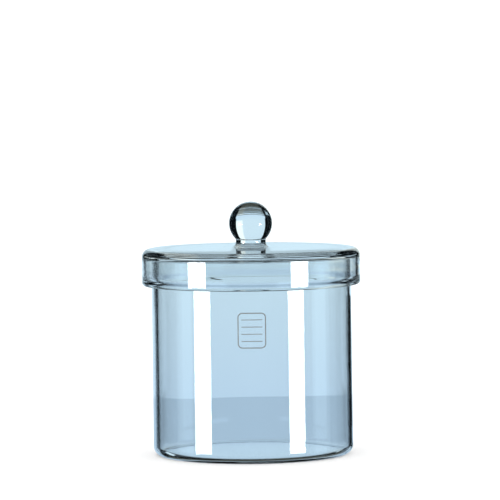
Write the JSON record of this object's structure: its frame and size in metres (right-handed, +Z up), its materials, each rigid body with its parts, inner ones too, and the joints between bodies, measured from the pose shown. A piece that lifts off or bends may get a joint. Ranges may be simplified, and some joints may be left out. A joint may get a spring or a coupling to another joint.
{
  "type": "specimen jar",
  "caption": "Straight-sided clear glass specimen jar with a loose flat lid that overlaps the rim, a ball knob on the lid and a blank enamel writing panel on the front.",
  "frame": {"origin": "centre of the flat base, on the surface the jar stands on", "axes": "+Z up along the jar's axis and the way the lid lifts off, -Y towards the front with the writing panel, +X to the right seen from the front"},
  "size_m": [0.1096, 0.1096, 0.127],
  "materials": {
    "jar_glass": "clear fire-polished tube glass",
    "lid_glass": "clear fire-polished hand-finished glass",
    "enamel_print": "matt fired enamel print, pale grey"
  },
  "bodies": {
    "jar": {"jar_body": "jar_glass", "marking_panel": "enamel_print"},
    "lid": {"lid_cap": "lid_glass", "lid_knob": "lid_glass"}
  },
  "joints": [
    {"name": "lid_lift", "type": "slide", "parent": "jar", "child": "lid", "axis": [0, 0, 1], "range_m": [0, 0.09]}
  ]
}
